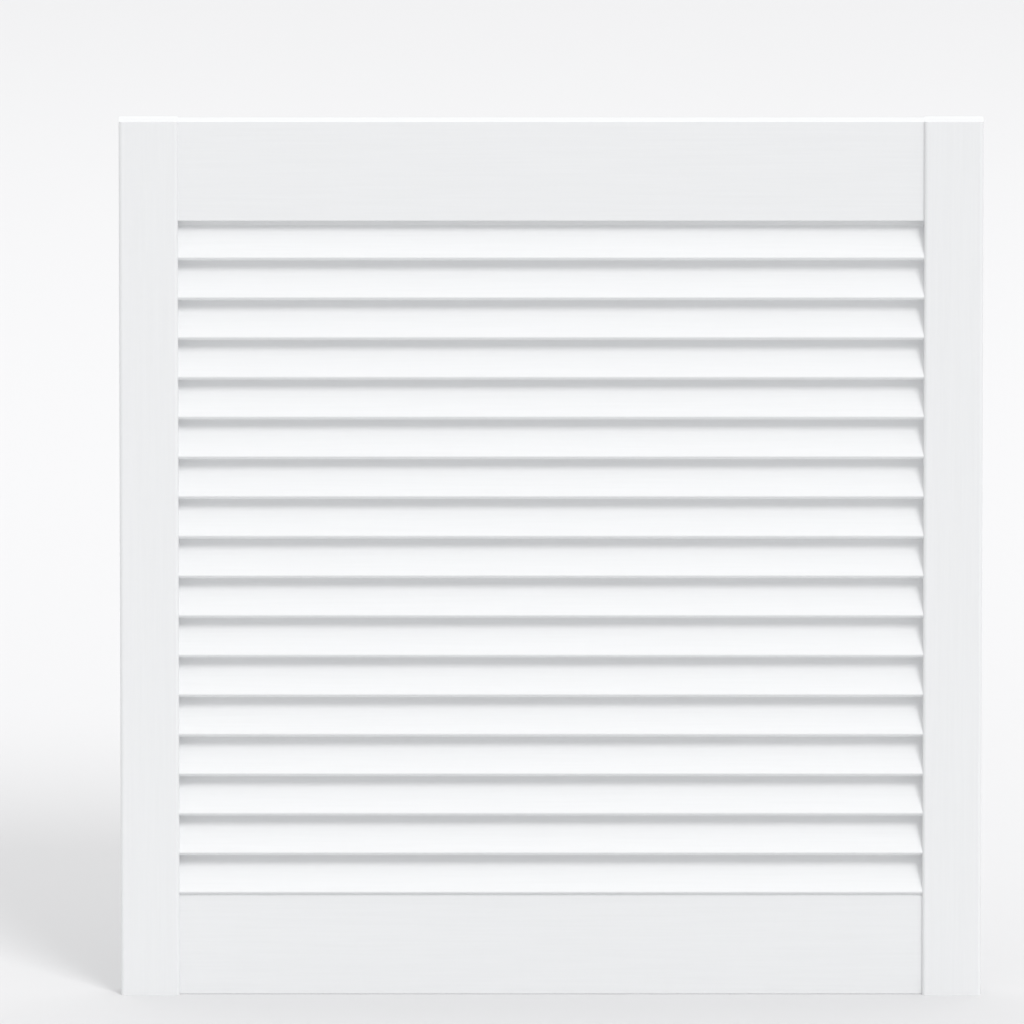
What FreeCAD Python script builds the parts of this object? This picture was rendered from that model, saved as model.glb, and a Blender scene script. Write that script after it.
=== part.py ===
"""Louvred cabinet door: two stiles, two rails and a row of fixed slats seated in slanted slots.

Millimetres, +Z up. The door's front looks along -Y and its width runs along +X.
The origin is the middle of the hinge edge, which is the outer face of the left stile.
"""
import FreeCAD, Part
import math
import os

import Sketcher

# Driving sizes, in millimetres, with the slats' slope from level in degrees
SIZES = {
    "door_width": 594,
    "door_height": 615,
    "stile_width": 40.5,
    "stile_thickness": 21,
    "stile_round": 2.5,
    "rail_height": 70,
    "rail_thickness": 14,
    "rail_round": 0.8,
    "tenon_length": 22,
    "tenon_thickness": 7,
    "tenon_shoulder": 8,
    "tenon_round": 2,
    "slat_thickness": 5.5,
    "slat_angle": 60,
    "slat_setback": 1.4,
    "slat_spacing": 28,
    "slat_round": 1,
    "slat_seat": 8,
    "slat_top_gap": 1.3,
    "fit_clearance": 0.15,
}

# The opening that the stiles and rails frame, and the height of the rails' middles
OPENING_WIDTH = "(sizes.door_width - 2 * sizes.stile_width)"
OPENING_HEIGHT = "(sizes.door_height - 2 * sizes.rail_height)"
RAIL_LEVEL = "((sizes.door_height - sizes.rail_height) / 2)"

# A tenon is as high as its rail less a shoulder above and below
TENON_HEIGHT = "(sizes.rail_height - 2 * sizes.tenon_shoulder)"

# A slat fills the stile's thickness less a setback at both faces, so its width follows from its slope.
# Its round corners bring it in a little, so the span between the middles of the rounds is what slopes.
SLAT_ROUNDS = "(2 * sizes.slat_round)"
SLAT_CORE = f"(sizes.slat_thickness - {SLAT_ROUNDS})"
SLAT_DEPTH = "(sizes.stile_thickness - 2 * sizes.slat_setback)"
SLAT_SPAN = f"(({SLAT_DEPTH} - {SLAT_ROUNDS} - {SLAT_CORE} * sin(sizes.slat_angle)) / cos(sizes.slat_angle))"
SLAT_WIDTH = f"({SLAT_SPAN} + {SLAT_ROUNDS})"
SLAT_RISE = f"({SLAT_SPAN} * sin(sizes.slat_angle) + {SLAT_CORE} * cos(sizes.slat_angle) + {SLAT_ROUNDS})"

# The lowest slat sits on the bottom rail and the highest stops a small gap under the top rail
SLAT_RUN = f"({OPENING_HEIGHT} - {SLAT_RISE} - sizes.fit_clearance - sizes.slat_top_gap)"
SLAT_COUNT = f"(round({SLAT_RUN} / sizes.slat_spacing) + 1)"
SLAT_PITCH = f"({SLAT_RUN} / ({SLAT_COUNT} - 1))"
LOWEST_SLAT = f"({SLAT_RISE} / 2 + sizes.fit_clearance - {OPENING_HEIGHT} / 2)"


def add_sheet(doc):
    sheet = doc.addObject("Spreadsheet::Sheet", "sizes")
    for row, (alias, size) in enumerate(SIZES.items(), start=1):
        sheet.set(f"A{row}", alias)
        sheet.set(f"B{row}", str(size))
        sheet.setAlias(f"B{row}", alias)
    doc.recompute()
    return sheet


def number(doc, expression):
    return float(doc.sizes.evalExpression(expression))


def bind(feature, **expressions):
    """Bind properties to the sheet; a double underscore in a keyword stands for a dot in the path."""
    for path, expression in expressions.items():
        feature.setExpression(path.replace("__", "."), expression)


def add_body(doc, label):
    body = doc.addObject("PartDesign::Body", label)
    body.Label = label
    return body


def origin_feature(body, role):
    return next(feature for feature in body.Origin.OriginFeatures if feature.Role == role)


def rounded_rectangle(body, name, plane, across, up, corner):
    """Sketch on an origin plane of the body: a round-cornered rectangle about the sketch's origin."""
    doc = body.Document
    sketch = body.newObject("Sketcher::SketchObject", f"{body.Label}_{name}")
    sketch.AttachmentSupport = [(origin_feature(body, plane), "")]
    sketch.MapMode = "FlatFace"

    radius = number(doc, corner)
    reach_x = number(doc, across) / 2 - radius
    reach_y = number(doc, up) / 2 - radius
    quarter = math.pi / 2
    corner_signs = [(1, 1), (-1, 1), (-1, -1), (1, -1)]
    arcs = []
    for turn, (sign_x, sign_y) in enumerate(corner_signs):
        centre = FreeCAD.Vector(sign_x * reach_x, sign_y * reach_y, 0)
        circle = Part.Circle(centre, FreeCAD.Vector(0, 0, 1), radius)
        arcs.append(Part.ArcOfCircle(circle, turn * quarter, (turn + 1) * quarter))
    sides = []
    for turn, arc in enumerate(arcs):
        sides.append(Part.LineSegment(arc.EndPoint, arcs[(turn + 1) % len(arcs)].StartPoint))
    arc_ids = sketch.addGeometry(arcs, False)
    top, left, bottom, right = side_ids = sketch.addGeometry(sides, False)

    start, end = 1, 2
    origin_id, origin_point = -1, 1
    for turn, side in enumerate(side_ids):
        next_arc = arc_ids[(turn + 1) % len(arc_ids)]
        sketch.addConstraint(Sketcher.Constraint("Tangent", arc_ids[turn], end, side, start))
        sketch.addConstraint(Sketcher.Constraint("Tangent", side, end, next_arc, start))
    for arc in arc_ids[1:]:
        sketch.addConstraint(Sketcher.Constraint("Equal", arc_ids[0], arc))
    for side in (top, bottom):
        sketch.addConstraint(Sketcher.Constraint("Horizontal", side))
    for side in (left, right):
        sketch.addConstraint(Sketcher.Constraint("Vertical", side))
    sketch.addConstraint(Sketcher.Constraint("Symmetric", top, start, bottom, start, origin_id, origin_point))

    sizes = {
        "across": (across, Sketcher.Constraint("DistanceX", left, start, right, start, number(doc, across))),
        "up": (up, Sketcher.Constraint("DistanceY", bottom, start, top, start, number(doc, up))),
        "corner": (corner, Sketcher.Constraint("Radius", arc_ids[0], radius)),
    }
    for size_name, (expression, constraint) in sizes.items():
        index = sketch.addConstraint(constraint)
        sketch.renameConstraint(index, size_name)
        sketch.setExpression(f"Constraints.{size_name}", expression)
    return sketch


def section_across_door(body, name, at_x, at_z, slope, across, up, corner):
    """Section square to the door's width, at a place along it and a height, turned by a slope."""
    sketch = rounded_rectangle(body, name, "YZ_Plane", across, up, corner)
    sketch.AttachmentOffset = FreeCAD.Placement(
        FreeCAD.Vector(0, 0, 0), FreeCAD.Rotation(FreeCAD.Vector(0, 0, 1), number(body.Document, slope))
    )
    bind(
        sketch,
        AttachmentOffset__Base__z=at_x,
        AttachmentOffset__Base__y=at_z,
        AttachmentOffset__Rotation__Angle=slope,
    )
    return sketch


def pad(body, sketch, length):
    feature = body.newObject("PartDesign::Pad", f"{sketch.Name}_pad")
    feature.Profile = sketch
    bind(feature, Length=length)
    return feature


def pocket(body, sketch, depth, towards_plus_x):
    feature = body.newObject("PartDesign::Pocket", f"{sketch.Name}_pocket")
    feature.Profile = sketch
    feature.Reversed = towards_plus_x
    bind(feature, Length=depth)
    return feature


def add_stile(doc, label, centre_x, inner_x, cut_towards_plus_x):
    """Upright with eased long edges, a row of slanted slots for the slats and a mortise for each rail."""
    body = add_body(doc, label)
    section = rounded_rectangle(
        body, "section", "XY_Plane", "sizes.stile_width", "sizes.stile_thickness", "sizes.stile_round"
    )
    bind(section, AttachmentOffset__Base__x=centre_x, AttachmentOffset__Base__z="-sizes.door_height / 2")
    blank = pad(body, section, "sizes.door_height")

    slot_outline = section_across_door(
        body,
        "slot",
        at_x=inner_x,
        at_z=LOWEST_SLAT,
        slope="sizes.slat_angle",
        across=f"{SLAT_WIDTH} + 2 * sizes.fit_clearance",
        up="sizes.slat_thickness + 2 * sizes.fit_clearance",
        corner="sizes.slat_round + sizes.fit_clearance",
    )
    slot = pocket(body, slot_outline, "sizes.slat_seat + sizes.fit_clearance", cut_towards_plus_x)
    slots = body.newObject("PartDesign::LinearPattern", f"{label}_slots")
    slots.Originals = [slot]
    slots.Direction = (origin_feature(body, "Z_Axis"), [""])
    bind(slots, Length=f"{SLAT_PITCH} * ({SLAT_COUNT} - 1)", Occurrences=SLAT_COUNT)
    body.Tip = slots

    mortises = []
    for name, level in (("top_mortise", RAIL_LEVEL), ("bottom_mortise", f"-{RAIL_LEVEL}")):
        outline = section_across_door(
            body,
            name,
            at_x=inner_x,
            at_z=level,
            slope="0",
            across="sizes.tenon_thickness + 2 * sizes.fit_clearance",
            up=f"{TENON_HEIGHT} + 2 * sizes.fit_clearance",
            corner="sizes.tenon_round + sizes.fit_clearance",
        )
        mortises.append(pocket(body, outline, "sizes.tenon_length + sizes.fit_clearance", cut_towards_plus_x))
    doc.recompute()

    slot_volume = Part.Face(slot_outline.Shape.Wires[0]).Area * slot.Length.Value
    check_cut(label, blank, slots, slot_volume * number(doc, SLAT_COUNT))
    for before, mortise in zip([slots, mortises[0]], mortises):
        outline_area = Part.Face(mortise.Profile[0].Shape.Wires[0]).Area
        check_cut(label, before, mortise, outline_area * mortise.Length.Value)
    return body


def check_cut(label, before, after, expected):
    """A cut that points away from the wood takes nothing off, so what went is compared with its outline.

    A slot reaches a little past the stile's flat inner face, where the rounded edge has taken some wood.
    """
    rounded_off = 0.01
    removed = before.Shape.Volume - after.Shape.Volume
    if not math.isclose(removed, expected, rel_tol=rounded_off):
        raise RuntimeError(f"{label}: {after.Name} took off {removed:.2f} mm3, not {expected:.2f} mm3")


def add_rail(doc, label, level):
    """Cross member between the stiles, thinner than they are, with a stub tenon at both ends."""
    body = add_body(doc, label)
    face = section_across_door(
        body,
        "section",
        at_x="sizes.stile_width",
        at_z=level,
        slope="0",
        across="sizes.rail_thickness",
        up="sizes.rail_height",
        corner="sizes.rail_round",
    )
    pad(body, face, OPENING_WIDTH)
    tenon = section_across_door(
        body,
        "tenon",
        at_x="sizes.stile_width - sizes.tenon_length",
        at_z=level,
        slope="0",
        across="sizes.tenon_thickness",
        up=TENON_HEIGHT,
        corner="sizes.tenon_round",
    )
    pad(body, tenon, f"{OPENING_WIDTH} + 2 * sizes.tenon_length")
    return body


def add_slat(doc, label, place):
    """Fixed slat with its front edge low and its back edge high; both ends go into the stiles' slots."""
    body = add_body(doc, label)
    section = section_across_door(
        body,
        "section",
        at_x="sizes.stile_width - sizes.slat_seat",
        at_z="0",
        slope="sizes.slat_angle",
        across=SLAT_WIDTH,
        up="sizes.slat_thickness",
        corner="sizes.slat_round",
    )
    pad(body, section, f"{OPENING_WIDTH} + 2 * sizes.slat_seat")
    bind(body, Placement__Base__z=f"{LOWEST_SLAT} + {place} * {SLAT_PITCH}")
    return body


def check_document(doc, bodies):
    for item in doc.Objects:
        if "Invalid" in item.State or "Error" in item.State:
            raise RuntimeError(f"{item.Label} did not compute: {item.State}")
    for body in bodies:
        shape = body.Shape
        if shape.isNull() or not shape.isValid() or len(shape.Solids) != 1:
            raise RuntimeError(f"{body.Label} is not one valid solid")


def main():
    doc = FreeCAD.newDocument("louvred_door")
    add_sheet(doc)

    bodies = [
        add_stile(doc, "stile_left", "sizes.stile_width / 2", "sizes.stile_width", False),
        add_stile(
            doc,
            "stile_right",
            "sizes.door_width - sizes.stile_width / 2",
            "sizes.door_width - sizes.stile_width",
            True,
        ),
        add_rail(doc, "rail_top", RAIL_LEVEL),
        add_rail(doc, "rail_bottom", f"-{RAIL_LEVEL}"),
    ]
    for place in range(round(number(doc, SLAT_COUNT))):
        bodies.append(add_slat(doc, f"slat_{place + 1:02d}", place))
    doc.recompute()
    check_document(doc, bodies)

    os.makedirs("parts", exist_ok=True)
    for body in bodies:
        body.Shape.exportStep(f"parts/{body.Label}.step")


main()
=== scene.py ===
"""Looks of a white louvred cabinet door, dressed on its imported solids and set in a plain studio."""
import math

import bmesh
import bpy
from mathutils import Matrix, Vector


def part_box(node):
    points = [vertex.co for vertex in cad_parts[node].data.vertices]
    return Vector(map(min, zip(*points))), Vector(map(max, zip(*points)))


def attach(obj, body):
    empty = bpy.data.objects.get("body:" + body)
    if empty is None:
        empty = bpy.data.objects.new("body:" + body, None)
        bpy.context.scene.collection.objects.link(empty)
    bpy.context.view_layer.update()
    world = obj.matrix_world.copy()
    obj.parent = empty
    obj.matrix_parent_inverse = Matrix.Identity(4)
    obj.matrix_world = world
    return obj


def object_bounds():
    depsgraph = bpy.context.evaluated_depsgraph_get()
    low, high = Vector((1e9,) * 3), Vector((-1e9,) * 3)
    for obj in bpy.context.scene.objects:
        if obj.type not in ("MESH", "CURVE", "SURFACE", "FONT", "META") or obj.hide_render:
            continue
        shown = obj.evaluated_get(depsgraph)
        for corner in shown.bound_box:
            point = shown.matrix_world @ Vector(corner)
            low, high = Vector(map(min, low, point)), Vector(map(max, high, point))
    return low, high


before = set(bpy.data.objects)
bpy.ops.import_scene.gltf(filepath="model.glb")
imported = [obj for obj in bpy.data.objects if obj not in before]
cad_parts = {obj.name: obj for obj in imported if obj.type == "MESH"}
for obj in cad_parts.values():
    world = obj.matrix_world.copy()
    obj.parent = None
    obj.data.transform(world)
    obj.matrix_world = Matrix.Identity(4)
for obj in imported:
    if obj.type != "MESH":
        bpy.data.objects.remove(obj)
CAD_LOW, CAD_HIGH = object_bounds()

bl_info = {
    "name": "Louvred Door Finish",
    "version": (1, 0, 0),
    "blender": (4, 5, 0),
    "location": "View3D > Sidebar > Louvred Door",
    "description": "Paints a louvred cabinet door, seals its joints and sets it in a plain studio",
    "category": "Object",
}

MM = 0.001
BODY = "root"

STILES = ["stile_left", "stile_right"]
RAILS = ["rail_top", "rail_bottom"]
SLATS = sorted(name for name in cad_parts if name.startswith("slat_"))
STILE_PAINT = "satin paint on upright pine"
RAIL_PAINT = "satin paint on level pine"
SLAT_PAINT = "satin paint on pine slats"
SEAM_INPUTS = {
    "Width": "NodeSocketFloat", "Thickness": "NodeSocketFloat", "Edge round": "NodeSocketFloat",
    "Reach": "NodeSocketFloat", "Sink": "NodeSocketFloat", "Lean": "NodeSocketFloat",
    "Left face": "NodeSocketFloat", "Right face": "NodeSocketFloat", "Lowest": "NodeSocketFloat",
    "Pitch": "NodeSocketFloat", "Count": "NodeSocketInt", "Paint": "NodeSocketMaterial",
}

# Where the door stands in the 1024 by 1024 frame: its middle and its width, in pixels
FRAME_PIXELS = 1024
DOOR_MIDDLE_PIXELS = (551.0, 557.0)
DOOR_WIDTH_PIXELS = 862.0


def linear_colour(hex_value):
    """An sRGB hex value such as F0F1F2 as the linear colour that shaders take."""
    channels = [int(hex_value[place:place + 2], 16) / 255 for place in (0, 2, 4)]
    linear = [c / 12.92 if c <= 0.04045 else ((c + 0.055) / 1.055) ** 2.4 for c in channels]
    opaque = 1.0
    return (*linear, opaque)


def add_node(tree, kind, inputs=None, **settings):
    """Add a node, set its properties and fill its inputs: a socket is linked, anything else is its value."""
    node = tree.nodes.new(kind)
    for name, setting in settings.items():
        setattr(node, name, setting)
    for name, source in (inputs or {}).items():
        if isinstance(source, bpy.types.NodeSocket):
            tree.links.new(source, node.inputs[name])
        else:
            node.inputs[name].default_value = source
    return node


class LouvrePaint(bpy.types.PropertyGroup):
    """The satin paint and the pine under it."""

    white: bpy.props.FloatVectorProperty(
        name="White", description="Main colour of the paint", subtype="COLOR", size=4,
        min=0, max=1, default=linear_colour("E9EAEB"))
    thin_white: bpy.props.FloatVectorProperty(
        name="Thin white", description="Colour where the coat is thinner over the grain", subtype="COLOR",
        size=4, min=0, max=1, default=linear_colour("E7E8E9"))
    sheen_roughness: bpy.props.FloatProperty(
        name="Roughness", description="Roughness of the satin coat", subtype="FACTOR",
        min=0, max=1, default=0.42)
    ring_spacing: bpy.props.FloatProperty(
        name="Ring spacing", description="Spacing of the growth rings that show as faint ridges",
        unit="LENGTH", min=0.001, default=7 * MM)
    # Single fibres are too fine to show, so bundles of them are drawn, as coarse as the picture needs
    fibre_width: bpy.props.FloatProperty(
        name="Fibre width", description="Width of a raised bundle of wood fibres under the paint",
        unit="LENGTH", min=0.0002, default=1.6 * MM)
    relief: bpy.props.FloatProperty(
        name="Relief", description="Height of the grain that shows through the paint",
        unit="LENGTH", min=0, default=0.014 * MM)


class LouvreSeams(bpy.types.PropertyGroup):
    """The paint and filler that seal the joints, and the sections that they follow."""

    slat_thickness: bpy.props.FloatProperty(
        name="Slat thickness", description="Thickness of a slat", unit="LENGTH", default=5.5 * MM)
    slat_round: bpy.props.FloatProperty(
        name="Slat round", description="Radius of a slat's long edges", unit="LENGTH", default=1.0 * MM)
    slat_slope: bpy.props.FloatProperty(
        name="Slat slope", description="Slope of a slat from level", unit="ROTATION",
        default=math.radians(60))
    rail_round: bpy.props.FloatProperty(
        name="Rail round", description="Radius of a rail's long edges", unit="LENGTH", default=0.8 * MM)
    bead_reach: bpy.props.FloatProperty(
        name="Bead reach", description="How far a bead of paint reaches out of a joint", unit="LENGTH",
        default=0.5 * MM)
    bead_sink: bpy.props.FloatProperty(
        name="Bead sink", description="How deep a bead sinks in, so that it meets a stile's rounded edge too",
        unit="LENGTH", default=0.7 * MM)
    sill_reach: bpy.props.FloatProperty(
        name="Sill reach", description="How far up the lowest slat's edge the filler in the wedge reaches",
        unit="LENGTH", default=3.2 * MM)
    head_reach: bpy.props.FloatProperty(
        name="Head reach", description="How far down the highest slat's face the filler over it reaches",
        unit="LENGTH", default=4.5 * MM)
    filler_sink: bpy.props.FloatProperty(
        name="Filler sink", description="How deep the filler sinks into the wood", unit="LENGTH",
        default=0.3 * MM)


class LouvreStudio(bpy.types.PropertyGroup):
    """Camera, lights and floor."""

    camera_elevation: bpy.props.FloatProperty(
        name="Elevation", description="Height of the view above level", unit="ROTATION",
        default=math.radians(12))
    camera_lens: bpy.props.FloatProperty(
        name="Lens", description="Long lens that keeps the door's edges parallel", unit="CAMERA",
        default=1000)
    key_strength: bpy.props.FloatProperty(
        name="Key strength", description="Strength of the soft light from the front", min=0, default=1.19)
    key_spread: bpy.props.FloatProperty(
        name="Key spread", description="Angle across the front light, which softens its shadows",
        unit="ROTATION", default=math.radians(20))
    key_elevation: bpy.props.FloatProperty(
        name="Key elevation", description="Height of the front light above level", unit="ROTATION",
        default=math.radians(41))
    key_azimuth: bpy.props.FloatProperty(
        name="Key azimuth", description="How far right of the door's front the front light stands",
        unit="ROTATION", default=math.radians(28))
    top_strength: bpy.props.FloatProperty(
        name="Top strength", description="Strength of the faint light from overhead", min=0, default=0.45)
    top_spread: bpy.props.FloatProperty(
        name="Top spread", description="Angle across the light from overhead", unit="ROTATION",
        default=math.radians(60))
    top_elevation: bpy.props.FloatProperty(
        name="Top elevation", description="Height of the overhead light above level", unit="ROTATION",
        default=math.radians(80))
    back_power: bpy.props.FloatProperty(
        name="Back power", description="Power of the broad light above and behind the door", unit="POWER",
        min=0, default=30)
    sky_strength: bpy.props.FloatProperty(
        name="Sky strength", description="Brightness of the even light around the door", min=0, default=0.70)
    floor_white: bpy.props.FloatVectorProperty(
        name="Floor white", description="Colour of the pale floor", subtype="COLOR", size=4,
        min=0, max=1, default=linear_colour("DCDCDD"))


def painted_pine(name, along):
    """Satin white paint sprayed on planed pine: an even cool white with a soft sheen.

    Growth rings and fibres swell a little under the coat, so they show as faint ridges along the grain.
    """
    paint = bpy.context.scene.louvre_paint
    material = bpy.data.materials.new(name)
    material.use_nodes = True
    tree = material.node_tree
    tree.nodes.clear()

    fibre_length = 60 * MM
    ring_field = 45 * MM
    ring_field_length = 600 * MM
    rings_per_field = ring_field / paint.ring_spacing
    # Sprayed paint dries with faint dimples, like orange peel
    peel_size = 1.1 * MM
    # Nearly all values of a noise lie between these two
    noise_low, noise_high = 0.3, 0.7
    paint_ior = 1.5

    def stretched(across, lengthwise):
        scales = [1 / across] * 3
        scales["XYZ".index(along)] = 1 / lengthwise
        return scales

    place = add_node(tree, "ShaderNodeTexCoord").outputs["Object"]
    ring_place = add_node(tree, "ShaderNodeMapping", {
        "Vector": place, "Scale": stretched(ring_field, ring_field_length)})
    ring_noise = add_node(tree, "ShaderNodeTexNoise", {
        "Vector": ring_place.outputs[0], "Scale": 1.0, "Detail": 1.0, "Roughness": 0.4})
    ring_phase = add_node(tree, "ShaderNodeMath", {
        0: ring_noise.outputs["Fac"], 1: 2 * math.pi * rings_per_field}, operation="MULTIPLY")
    rings = add_node(tree, "ShaderNodeMath", {0: ring_phase.outputs[0]}, operation="SINE")
    fibre_place = add_node(tree, "ShaderNodeMapping", {
        "Vector": place, "Scale": stretched(paint.fibre_width, fibre_length)})
    fibres = add_node(tree, "ShaderNodeTexNoise", {
        "Vector": fibre_place.outputs[0], "Scale": 1.0, "Detail": 3.0, "Roughness": 0.55})
    peel = add_node(tree, "ShaderNodeTexNoise", {
        "Vector": place, "Scale": 1 / peel_size, "Detail": 1.0, "Roughness": 0.5})

    ring_share, fibre_share, peel_share = 0.3, 0.9, 0.35
    ring_height = add_node(tree, "ShaderNodeMath", {0: rings.outputs[0], 1: ring_share}, operation="MULTIPLY")
    with_fibres = add_node(tree, "ShaderNodeMath", {
        0: fibres.outputs["Fac"], 1: fibre_share, 2: ring_height.outputs[0]}, operation="MULTIPLY_ADD")
    height = add_node(tree, "ShaderNodeMath", {
        0: peel.outputs["Fac"], 1: peel_share, 2: with_fibres.outputs[0]}, operation="MULTIPLY_ADD")
    bump = add_node(tree, "ShaderNodeBump", {
        "Height": height.outputs[0], "Distance": paint.relief, "Strength": 1.0})

    coat = add_node(tree, "ShaderNodeMapRange", {
        "Value": fibres.outputs["Fac"], "From Min": noise_low, "From Max": noise_high})
    colour = add_node(tree, "ShaderNodeMix", {
        "Factor": coat.outputs[0], "A": paint.thin_white, "B": paint.white}, data_type="RGBA")
    roughness_swing = 0.06
    roughness = add_node(tree, "ShaderNodeMapRange", {
        "Value": peel.outputs["Fac"], "From Min": noise_low, "From Max": noise_high,
        "To Min": paint.sheen_roughness - roughness_swing, "To Max": paint.sheen_roughness + roughness_swing})
    shader = add_node(tree, "ShaderNodeBsdfPrincipled", {
        "Base Color": colour.outputs["Result"], "Roughness": roughness.outputs[0],
        "Normal": bump.outputs[0], "IOR": paint_ior})
    add_node(tree, "ShaderNodeOutputMaterial", {"Surface": shader.outputs[0]})
    return material


def set_material(obj, material):
    """Give an object this material and no other."""
    obj.data.materials.clear()
    obj.data.materials.append(material)


def add_piece(name, mesh, material):
    """Put a finished mesh on the door, with its material."""
    piece = bpy.data.objects.new(name, mesh)
    set_material(piece, material)
    bpy.context.scene.collection.objects.link(piece)
    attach(piece, BODY)


def seam_tree():
    """Geometry nodes that lay a thin concave bead of paint round like members where they meet the stiles."""
    tree = bpy.data.node_groups.new("paint_seams", "GeometryNodeTree")
    for name, kind in SEAM_INPUTS.items():
        tree.interface.new_socket(name, in_out="INPUT", socket_type=kind)
    tree.interface.new_socket("Geometry", in_out="OUTPUT", socket_type="NodeSocketGeometry")
    given = add_node(tree, "NodeGroupInput").outputs

    outline = add_node(tree, "GeometryNodeCurvePrimitiveQuadrilateral", {
        "Width": given["Width"], "Height": given["Thickness"]})
    corner_steps = 3
    path = add_node(tree, "GeometryNodeFilletCurve", {
        "Curve": outline.outputs[0], "Radius": given["Edge round"], "Count": corner_steps,
        "Limit Radius": True}, mode="POLY")
    inward = add_node(tree, "ShaderNodeMath", {0: given["Sink"], 1: -1.0}, operation="MULTIPLY").outputs[0]
    hollow_share = 0.3
    hollow = add_node(tree, "ShaderNodeMath", {
        0: given["Reach"], 1: hollow_share}, operation="MULTIPLY").outputs[0]
    section_points = [(inward, inward), (given["Reach"], inward), (hollow, hollow), (inward, given["Reach"])]
    corners = {}
    for place, (outward, along) in enumerate(section_points, 1):
        corner = add_node(tree, "ShaderNodeCombineXYZ", {"X": outward, "Y": along})
        corners[f"Point {place}"] = corner.outputs[0]
    section = add_node(tree, "GeometryNodeCurvePrimitiveQuadrilateral", corners, mode="POINTS")
    bead = add_node(tree, "GeometryNodeCurveToMesh", {
        "Curve": path.outputs[0], "Profile Curve": section.outputs[0]})
    tilt = add_node(tree, "ShaderNodeCombineXYZ", {"X": given["Lean"]})

    sides = add_node(tree, "GeometryNodeJoinGeometry")
    for face, turn in (("Left face", -90), ("Right face", 90)):
        across = add_node(tree, "GeometryNodeTransform", {
            "Geometry": bead.outputs[0], "Rotation": (0, math.radians(turn), 0)})
        leant = add_node(tree, "GeometryNodeTransform", {
            "Geometry": across.outputs[0], "Rotation": tilt.outputs[0]})
        lowest = add_node(tree, "ShaderNodeCombineXYZ", {"X": given[face], "Z": given["Lowest"]})
        step = add_node(tree, "ShaderNodeCombineXYZ", {"Z": given["Pitch"]})
        places = add_node(tree, "GeometryNodeMeshLine", {
            "Count": given["Count"], "Start Location": lowest.outputs[0], "Offset": step.outputs[0]})
        beads = add_node(tree, "GeometryNodeInstanceOnPoints", {
            "Points": places.outputs[0], "Instance": leant.outputs[0]})
        tree.links.new(beads.outputs[0], sides.inputs[0])
    plain = add_node(tree, "GeometryNodeRealizeInstances", {"Geometry": sides.outputs[0]})
    painted = add_node(tree, "GeometryNodeSetMaterial", {
        "Geometry": plain.outputs[0], "Material": given["Paint"]})
    add_node(tree, "NodeGroupOutput", {"Geometry": painted.outputs[0]})
    return tree


def lay_seams(name, values):
    """One plain mesh of paint beads, made by the seam tree from the given values."""
    tree = bpy.data.node_groups.get("paint_seams") or seam_tree()
    source = bpy.data.objects.new(name + "_source", bpy.data.meshes.new(name + "_source"))
    bpy.context.scene.collection.objects.link(source)
    modifier = source.modifiers.new("seams", "NODES")
    modifier.node_group = tree
    for socket in tree.interface.items_tree:
        if socket.in_out == "INPUT":
            modifier[socket.identifier] = values[socket.name]
    evaluated = source.evaluated_get(bpy.context.evaluated_depsgraph_get())
    mesh = bpy.data.meshes.new_from_object(evaluated)
    mesh.name = name
    bpy.data.objects.remove(source)
    if not mesh.polygons:
        raise RuntimeError(f"{name} has no faces")
    crease = math.radians(50)
    mesh.set_sharp_from_angle(angle=crease)
    add_piece(name, mesh, values["Paint"])


def middle_of(node):
    """Middle of a CAD node's box."""
    return sum(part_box(node), Vector()) / 2


def slat_directions(slope):
    """Unit vectors of a slat: up along it to the back, and out of its upper face to the front."""
    back_up = Vector((0, math.cos(slope), math.sin(slope)))
    front_up = Vector((0, -math.sin(slope), math.cos(slope)))
    return back_up, front_up


def lay_filler(name, section, left, right):
    """A length of painted filler with this section, from one stile to the other."""
    shape = bmesh.new()
    ends = []
    for x in (left, right):
        ends.append([shape.verts.new((x, point.y, point.z)) for point in section])
    for end in ends:
        shape.faces.new(end)
    for place in range(len(section)):
        after = (place + 1) % len(section)
        shape.faces.new([ends[0][place], ends[0][after], ends[1][after], ends[1][place]])
    bmesh.ops.recalc_face_normals(shape, faces=shape.faces)
    mesh = bpy.data.meshes.new(name)
    shape.to_mesh(mesh)
    shape.free()
    add_piece(name, mesh, bpy.data.materials[RAIL_PAINT])


def lay_sill(slat_width, seams, left_face, right_face):
    """Painted filler in the wedge between the lower edge of the lowest slat and the bottom rail."""
    back_up, front_up = slat_directions(seams.slat_slope)
    rail_low, rail_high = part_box("rail_bottom")
    edge_middle = middle_of(SLATS[0]) - back_up * slat_width / 2
    tip = edge_middle + front_up * (rail_high.z - edge_middle.z) / front_up.z
    on_slat = tip + front_up * seams.sill_reach
    on_rail = Vector((0, rail_low.y + seams.rail_round, rail_high.z))
    hollow = (on_slat + on_rail + tip) / 3
    sink = seams.filler_sink
    section = [on_rail - Vector((0, 0, sink)), hollow, on_slat + back_up * sink, tip - front_up * sink]
    lay_filler("sill_seam", section, left_face - sink, right_face + sink)


def lay_head(slat_width, seams, left_face, right_face):
    """Painted filler that closes the narrow gap between the highest slat and the top rail."""
    back_up, front_up = slat_directions(seams.slat_slope)
    corner = middle_of(SLATS[-1]) + back_up * slat_width / 2 + front_up * seams.slat_thickness / 2
    on_slat = corner - back_up * seams.head_reach
    sink = seams.filler_sink
    in_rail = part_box("rail_top")[0].z + sink
    section = [
        Vector((0, on_slat.y, in_rail)), on_slat - Vector((0, 0, sink)),
        corner - (back_up + front_up) * seams.slat_round, Vector((0, corner.y, in_rail))]
    lay_filler("head_seam", section, left_face - sink, right_face + sink)


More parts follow.
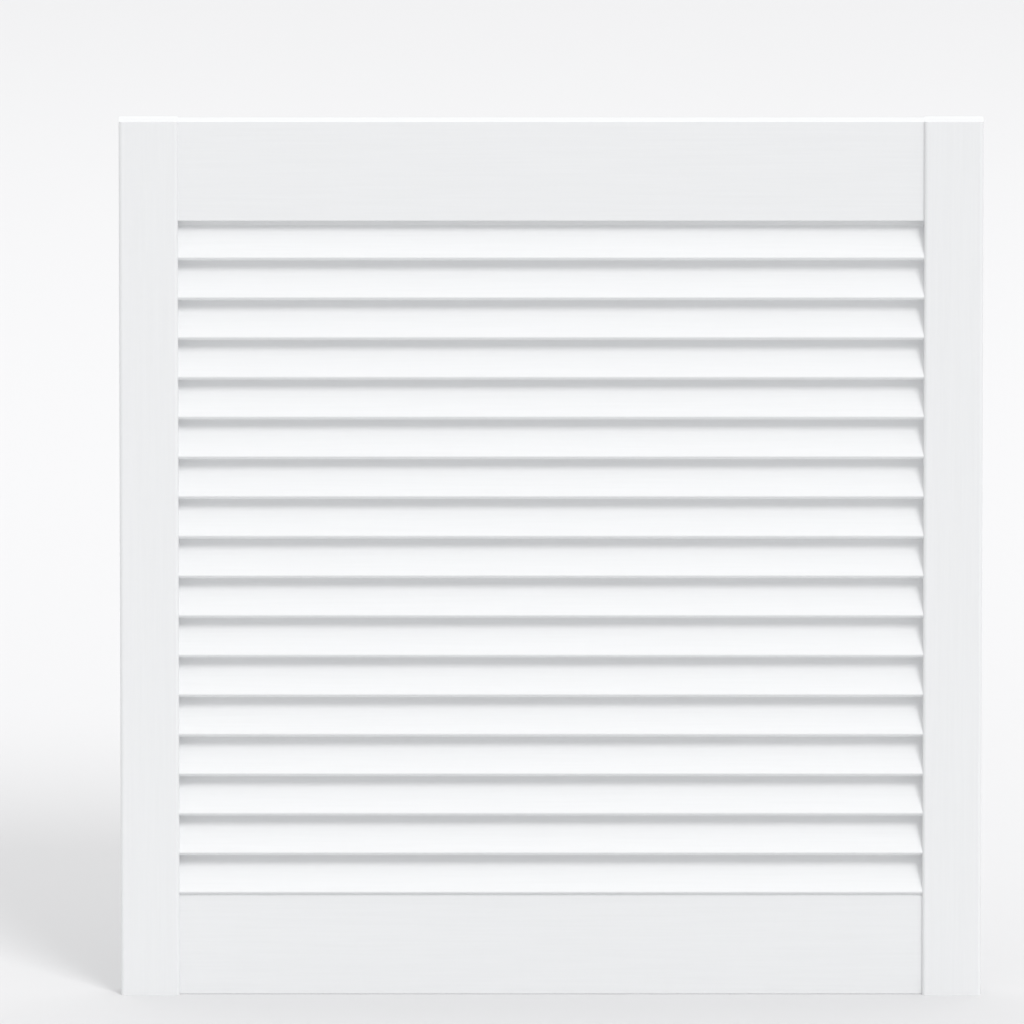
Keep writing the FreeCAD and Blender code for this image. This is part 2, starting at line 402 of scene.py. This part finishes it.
class LOUVRE_OT_stiles(bpy.types.Operator):
    """Paint the two stiles, with the grain upright"""

    bl_idname = "louvre_door.stiles"
    bl_label = "Paint stiles"

    def execute(self, context):
        material = painted_pine(STILE_PAINT, "Z")
        for name in STILES:
            set_material(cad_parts[name], material)
        return {"FINISHED"}


class LOUVRE_OT_rails(bpy.types.Operator):
    """Paint the two rails, with the grain along them"""

    bl_idname = "louvre_door.rails"
    bl_label = "Paint rails"

    def execute(self, context):
        material = painted_pine(RAIL_PAINT, "X")
        for name in RAILS:
            set_material(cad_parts[name], material)
        return {"FINISHED"}


class LOUVRE_OT_slats(bpy.types.Operator):
    """Paint the slats, with the grain along them"""

    bl_idname = "louvre_door.slats"
    bl_label = "Paint slats"

    def execute(self, context):
        material = painted_pine(SLAT_PAINT, "X")
        for name in SLATS:
            set_material(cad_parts[name], material)
        return {"FINISHED"}


class LOUVRE_OT_seams(bpy.types.Operator):
    """Bridge the joints at the stiles with thin beads of paint, and fill the narrow gaps at the rails"""

    bl_idname = "louvre_door.seams"
    bl_label = "Seal joints"

    def execute(self, context):
        seams = context.scene.louvre_seams
        left_face, right_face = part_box("stile_left")[1].x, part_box("stile_right")[0].x
        shared = {
            "Left face": left_face, "Right face": right_face, "Reach": seams.bead_reach,
            "Sink": seams.bead_sink}

        first, second = [middle_of(name) for name in SLATS[:2]]
        low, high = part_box(SLATS[0])
        rounds = 2 * seams.slat_round
        core = (seams.slat_thickness - rounds) * math.sin(seams.slat_slope)
        slat_width = (high.y - low.y - rounds - core) / math.cos(seams.slat_slope) + rounds
        lay_seams("slat_seams", shared | {
            "Width": slat_width, "Thickness": seams.slat_thickness, "Edge round": seams.slat_round,
            "Lean": seams.slat_slope - math.radians(90), "Lowest": first.z, "Pitch": second.z - first.z,
            "Count": len(SLATS), "Paint": bpy.data.materials[SLAT_PAINT]})

        # The bead along a rail's outer edge is sunk in the rail, because the stile ends flush with it there
        flush = 1.0 * MM
        (low, high), (top_low, top_high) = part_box("rail_bottom"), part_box("rail_top")
        lowest = (low.z + high.z + flush) / 2
        lay_seams("rail_seams", shared | {
            "Width": high.z - low.z - flush, "Thickness": high.y - low.y, "Edge round": seams.rail_round,
            "Lean": 0.0, "Lowest": lowest, "Pitch": (top_low.z + top_high.z - flush) / 2 - lowest,
            "Count": len(RAILS), "Paint": bpy.data.materials[RAIL_PAINT]})
        lay_sill(slat_width, seams, left_face, right_face)
        lay_head(slat_width, seams, left_face, right_face)
        return {"FINISHED"}


def aim_camera(studio):
    """Camera square to the door's front, looking down on it, with the door where the photograph has it."""
    data = bpy.data.cameras.new("camera")
    data.lens = studio.camera_lens
    frame_width = (CAD_HIGH.x - CAD_LOW.x) * FRAME_PIXELS / DOOR_WIDTH_PIXELS
    distance = frame_width * data.lens / data.sensor_width
    # The view ends as far behind the door as the camera stands in front of it
    data.clip_end = 2 * distance

    tilt = studio.camera_elevation
    back = Vector((0, -math.cos(tilt), math.sin(tilt)))
    up = Vector((0, math.sin(tilt), math.cos(tilt)))
    metres_per_pixel = frame_width / FRAME_PIXELS
    aside = (FRAME_PIXELS / 2 - DOOR_MIDDLE_PIXELS[0]) * metres_per_pixel
    above = (DOOR_MIDDLE_PIXELS[1] - FRAME_PIXELS / 2) * metres_per_pixel
    target = (CAD_LOW + CAD_HIGH) / 2 + Vector((aside, 0, 0)) + up * above

    camera = bpy.data.objects.new("camera", data)
    camera.location = target + back * distance
    camera.rotation_euler = (-back).to_track_quat("-Z", "Y").to_euler()
    bpy.context.scene.collection.objects.link(camera)
    bpy.context.scene.camera = camera


def add_far_light(name, strength, spread, azimuth, elevation):
    """Broad even light from one direction, like a large diffuser far away."""
    data = bpy.data.lights.new(name, "SUN")
    data.energy = strength
    data.angle = spread
    light = bpy.data.objects.new(name, data)
    level = math.cos(elevation)
    towards = Vector((math.sin(azimuth) * level, -math.cos(azimuth) * level, math.sin(elevation)))
    light.rotation_euler = (-towards).to_track_quat("-Z", "Y").to_euler()
    bpy.context.scene.collection.objects.link(light)


def add_back_light(studio):
    """Broad panel above and behind the door, facing down: it whitens the floor and the top edges."""
    panel_width, panel_depth = 5.0, 3.0
    behind, above_floor = 1.8, 2.6
    data = bpy.data.lights.new("back light", "AREA")
    data.shape = "RECTANGLE"
    data.size = panel_width
    data.size_y = panel_depth
    data.energy = studio.back_power
    light = bpy.data.objects.new(data.name, data)
    light.location = ((CAD_LOW.x + CAD_HIGH.x) / 2, behind, CAD_LOW.z + above_floor)
    light.visible_camera = False
    bpy.context.scene.collection.objects.link(light)


def studio_floor(studio):
    """Plain pale floor under the door, large enough to fill the view.

    It is matt paper: an even ground with no gloss, so that only soft shade shows on it.
    """
    reach = 30.0
    matt_roughness = 0.9
    matt_specular = 0.1
    mesh = bpy.data.meshes.new("studio_floor")
    shape = bmesh.new()
    bmesh.ops.create_grid(shape, x_segments=1, y_segments=1, size=reach)
    shape.to_mesh(mesh)
    shape.free()
    mesh.transform(Matrix.Translation((CAD_HIGH.x / 2, 0, CAD_LOW.z)))
    floor = bpy.data.objects.new("studio_floor", mesh)
    bpy.context.scene.collection.objects.link(floor)

    material = bpy.data.materials.new("matt white studio paper")
    material.use_nodes = True
    shader = material.node_tree.nodes["Principled BSDF"]
    shader.inputs["Base Color"].default_value = studio.floor_white
    shader.inputs["Roughness"].default_value = matt_roughness
    shader.inputs["Specular IOR Level"].default_value = matt_specular
    set_material(floor, material)


class LOUVRE_OT_stage(bpy.types.Operator):
    """Set the floor, the soft lights and the camera"""

    bl_idname = "louvre_door.stage"
    bl_label = "Set the stage"

    def execute(self, context):
        scene = context.scene
        studio = scene.louvre_studio
        scene.view_settings.view_transform = "Standard"
        world = bpy.data.worlds.new("even studio sky")
        world.use_nodes = True
        sky = world.node_tree.nodes["Background"]
        sky.inputs["Color"].default_value = linear_colour("FFFFFF")
        sky.inputs["Strength"].default_value = studio.sky_strength
        scene.world = world
        studio_floor(studio)
        add_far_light(
            "front light", studio.key_strength, studio.key_spread, studio.key_azimuth, studio.key_elevation)
        add_far_light("top light", studio.top_strength, studio.top_spread, 0, studio.top_elevation)
        add_back_light(studio)
        aim_camera(studio)
        return {"FINISHED"}


class LOUVRE_PT_panel(bpy.types.Panel):
    """Sidebar panel that lists the door's steps and settings"""

    bl_idname = "LOUVRE_PT_panel"
    bl_label = "Louvred Door"
    bl_space_type = "VIEW_3D"
    bl_region_type = "UI"
    bl_category = "Louvred Door"

    def draw(self, context):
        layout = self.layout
        for operator in OPERATORS:
            layout.operator(operator.bl_idname)
        for group_name in SETTINGS:
            group = getattr(context.scene, group_name)
            box = layout.box()
            for prop_name in group.__annotations__:
                box.prop(group, prop_name)


OPERATORS = (LOUVRE_OT_stiles, LOUVRE_OT_rails, LOUVRE_OT_slats, LOUVRE_OT_seams, LOUVRE_OT_stage)
SETTINGS = {"louvre_paint": LouvrePaint, "louvre_seams": LouvreSeams, "louvre_studio": LouvreStudio}


def register():
    for group_name, group in SETTINGS.items():
        bpy.utils.register_class(group)
        setattr(bpy.types.Scene, group_name, bpy.props.PointerProperty(type=group))
    for operator in OPERATORS:
        bpy.utils.register_class(operator)
    bpy.utils.register_class(LOUVRE_PT_panel)


def unregister():
    bpy.utils.unregister_class(LOUVRE_PT_panel)
    for operator in reversed(OPERATORS):
        bpy.utils.unregister_class(operator)
    for group_name, group in SETTINGS.items():
        delattr(bpy.types.Scene, group_name)
        bpy.utils.unregister_class(group)


def main():
    """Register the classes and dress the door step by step."""
    register()
    bpy.ops.louvre_door.stiles()
    bpy.ops.louvre_door.rails()
    bpy.ops.louvre_door.slats()
    bpy.ops.louvre_door.seams()
    bpy.ops.louvre_door.stage()


if __name__ == "__main__":
    main()
